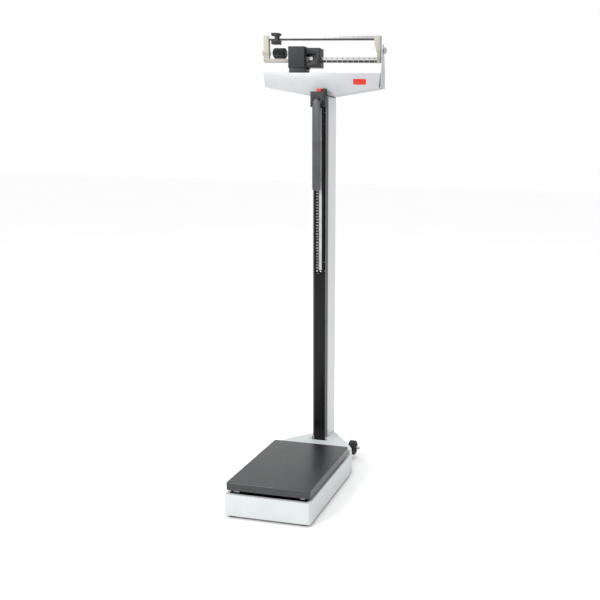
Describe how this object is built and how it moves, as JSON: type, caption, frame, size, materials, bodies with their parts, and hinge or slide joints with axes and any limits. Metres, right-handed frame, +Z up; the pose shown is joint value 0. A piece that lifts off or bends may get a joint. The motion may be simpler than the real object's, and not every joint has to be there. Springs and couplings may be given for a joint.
{
  "type": "physician beam scale",
  "caption": "Upright mechanical beam scale on a column: platform and levers in a wheeled base, height rod, two-bar beam with sliding poises.",
  "frame": {"origin": "centre of the footprint, on the floor", "axes": "+X to the right seen from the front, +Y to the back where the column stands, +Z up"},
  "size_m": [0.44, 0.5928, 1.535],
  "materials": {
    "white_paint": "satin",
    "frame_steel": "satin",
    "hard_steel": "ground",
    "cast_lever": "cast",
    "zinc_steel": "zinc plated",
    "platform_rubber": "fine ribbed",
    "foot_rubber": "matt",
    "wheel_plastic": "moulded",
    "wheel_rubber": "matt",
    "column_aluminium": "satin powder coat",
    "black_strip": "black anodised",
    "rod_metal": "anodised",
    "black_plastic": "fine grain",
    "headpiece_plastic": "fine grain",
    "red_plastic": "gloss",
    "head_paint": "satin",
    "beam_casting": "die cast",
    "beam_bar": "satin",
    "poise_black": "black painted"
  },
  "bodies": {
    "frame": {"arm_eye": "zinc_steel", "base_frame": "frame_steel", "base_housing": "white_paint", "beam_pedestal": "black_plastic", "column": "column_aluminium", "column_bolts": "zinc_steel", "column_brackets": "frame_steel", "column_strip": "black_strip", "column_top_plate": "frame_steel", "foot_lock_nuts": "zinc_steel", "head_cover": "head_paint", "head_housing": "head_paint", "pedestal_cover": "black_plastic", "rear_housing": "white_paint", "right_arm": "head_paint", "rod_guide": "black_strip", "small_screws": "zinc_steel", "transfer_pivot_plates": "frame_steel", "vee_bearings": "hard_steel", "wheel_axle": "zinc_steel", "wheel_caps": "zinc_steel", "wheel_spacers": "zinc_steel"},
    "beam": {"beam_end_left": "beam_casting", "beam_end_right": "beam_casting", "beam_bar_upper": "beam_bar", "beam_bar_lower": "beam_bar", "beam_knives": "hard_steel", "tare_screw": "zinc_steel"},
    "main_poise": {"main_poise": "poise_black"},
    "small_poise": {"small_poise": "poise_black"},
    "tare_weight": {"tare_weight": "poise_black"},
    "beam_link": {"beam_link": "zinc_steel"},
    "transfer_lever": {"transfer_lever": "cast_lever", "transfer_knives": "hard_steel"},
    "draft_rod": {"draft_rod": "zinc_steel", "draft_rod_stirrups": "zinc_steel"},
    "long_lever": {"long_lever": "cast_lever", "long_lever_knives": "hard_steel", "lever_link": "zinc_steel"},
    "short_lever": {"short_lever": "cast_lever", "short_lever_knives": "hard_steel"},
    "platform": {"platform_mat": "platform_rubber", "platform_plate": "frame_steel", "platform_brackets": "frame_steel", "platform_bearings": "hard_steel"},
    "lock_knob": {"lock_knob": "zinc_steel"},
    "height_rod": {"height_rod": "rod_metal", "rod_head": "black_plastic", "headpiece_pin": "zinc_steel", "button_spring": "zinc_steel"},
    "headpiece": {"headpiece": "headpiece_plastic"},
    "release_button": {"release_button": "red_plastic"},
    "wheel_left": {"wheel_hub_left": "wheel_plastic", "wheel_tyre_left": "wheel_rubber"},
    "wheel_right": {"wheel_hub_right": "wheel_plastic", "wheel_tyre_right": "wheel_rubber"},
    "foot_front_left": {"foot_front_left": "foot_rubber"},
    "foot_front_right": {"foot_front_right": "foot_rubber"},
    "foot_rear_left": {"foot_rear_left": "foot_rubber"},
    "foot_rear_right": {"foot_rear_right": "foot_rubber"}
  },
  "joints": [
    {"name": "beam_tilt", "type": "hinge", "parent": "frame", "child": "beam", "pos_m": [-0.074, 0.211, 1.446], "axis": [0, 1, 0], "range_deg": [-2, 2]},
    {"name": "main_poise_slide", "type": "slide", "parent": "beam", "child": "main_poise", "axis": [1, 0, 0], "range_m": [0, 0.19]},
    {"name": "small_poise_slide", "type": "slide", "parent": "beam", "child": "small_poise", "axis": [1, 0, 0], "range_m": [0, 0.33]},
    {"name": "tare_adjust", "type": "slide", "parent": "beam", "child": "tare_weight", "axis": [-1, 0, 0], "range_m": [-0.001, 0.01]},
    {"name": "beam_link_lift", "type": "slide", "parent": "frame", "child": "beam_link", "axis": [0, 0, 1], "range_m": [-0.00107, 0.00107]},
    {"name": "transfer_tilt", "type": "hinge", "parent": "frame", "child": "transfer_lever", "pos_m": [0.06, 0.211, 1.373], "axis": [0, 1, 0], "range_deg": [-0.3732, 0.3732]},
    {"name": "draft_rod_lift", "type": "slide", "parent": "frame", "child": "draft_rod", "axis": [0, 0, 1], "range_m": [-0.000391, 0.000391]},
    {"name": "long_lever_tilt", "type": "hinge", "parent": "frame", "child": "long_lever", "pos_m": [0, -0.262, 0.048], "axis": [1, 0, 0], "range_deg": [-0.0474, 0.0474]},
    {"name": "short_lever_tilt", "type": "hinge", "parent": "frame", "child": "short_lever", "pos_m": [0, 0.08, 0.048], "axis": [1, 0, 0], "range_deg": [-0.0474, 0.0474]},
    {"name": "platform_lift", "type": "slide", "parent": "frame", "child": "platform", "axis": [0, 0, 1], "range_m": [-0.00003, 0.00003]},
    {"name": "lock_knob_screw", "type": "slide", "parent": "frame", "child": "lock_knob", "axis": [-1, 0, 0], "range_m": [0, 0.0028]},
    {"name": "height_rod_slide", "type": "slide", "parent": "frame", "child": "height_rod", "axis": [0, 0, 1], "range_m": [0, 0.5]},
    {"name": "headpiece_fold", "type": "hinge", "parent": "height_rod", "child": "headpiece", "pos_m": [0, 0.143, 1.3], "axis": [-1, 0, 0], "range_deg": [0, 90]},
    {"name": "button_press", "type": "slide", "parent": "height_rod", "child": "release_button", "axis": [0, 0, -1], "range_m": [0, 0.004], "stiffness_N_per_m": 600, "deforming": ["button_spring"]},
    {"name": "wheel_left_spin", "type": "hinge", "parent": "frame", "child": "wheel_left", "pos_m": [-0.098, 0.2694, 0.04], "axis": [1, 0, 0], "continuous": true},
    {"name": "wheel_right_spin", "type": "hinge", "parent": "frame", "child": "wheel_right", "pos_m": [0.098, 0.2694, 0.04], "axis": [1, 0, 0], "continuous": true},
    {"name": "foot_front_left_turn", "type": "hinge", "parent": "frame", "child": "foot_front_left", "pos_m": [-0.118, -0.27, 0.01], "axis": [0, 0, 1], "continuous": true},
    {"name": "foot_front_right_turn", "type": "hinge", "parent": "frame", "child": "foot_front_right", "pos_m": [0.118, -0.27, 0.01], "axis": [0, 0, 1], "continuous": true},
    {"name": "foot_rear_left_turn", "type": "hinge", "parent": "frame", "child": "foot_rear_left", "pos_m": [-0.118, 0.084, 0.01], "axis": [0, 0, 1], "continuous": true},
    {"name": "foot_rear_right_turn", "type": "hinge", "parent": "frame", "child": "foot_rear_right", "pos_m": [0.118, 0.084, 0.01], "axis": [0, 0, 1], "continuous": true}
  ],
  "couplings": [
    {"joint": "beam_link_lift", "follows": "beam_tilt", "m_per_rad": 0.03},
    {"joint": "transfer_tilt", "follows": "beam_tilt", "ratio": 0.18293},
    {"joint": "draft_rod_lift", "follows": "beam_tilt", "m_per_rad": 0.010976},
    {"joint": "long_lever_tilt", "follows": "beam_tilt", "ratio": 0.023204},
    {"joint": "short_lever_tilt", "follows": "beam_tilt", "ratio": -0.023204},
    {"joint": "platform_lift", "follows": "beam_tilt", "m_per_rad": 0.00083535}
  ]
}
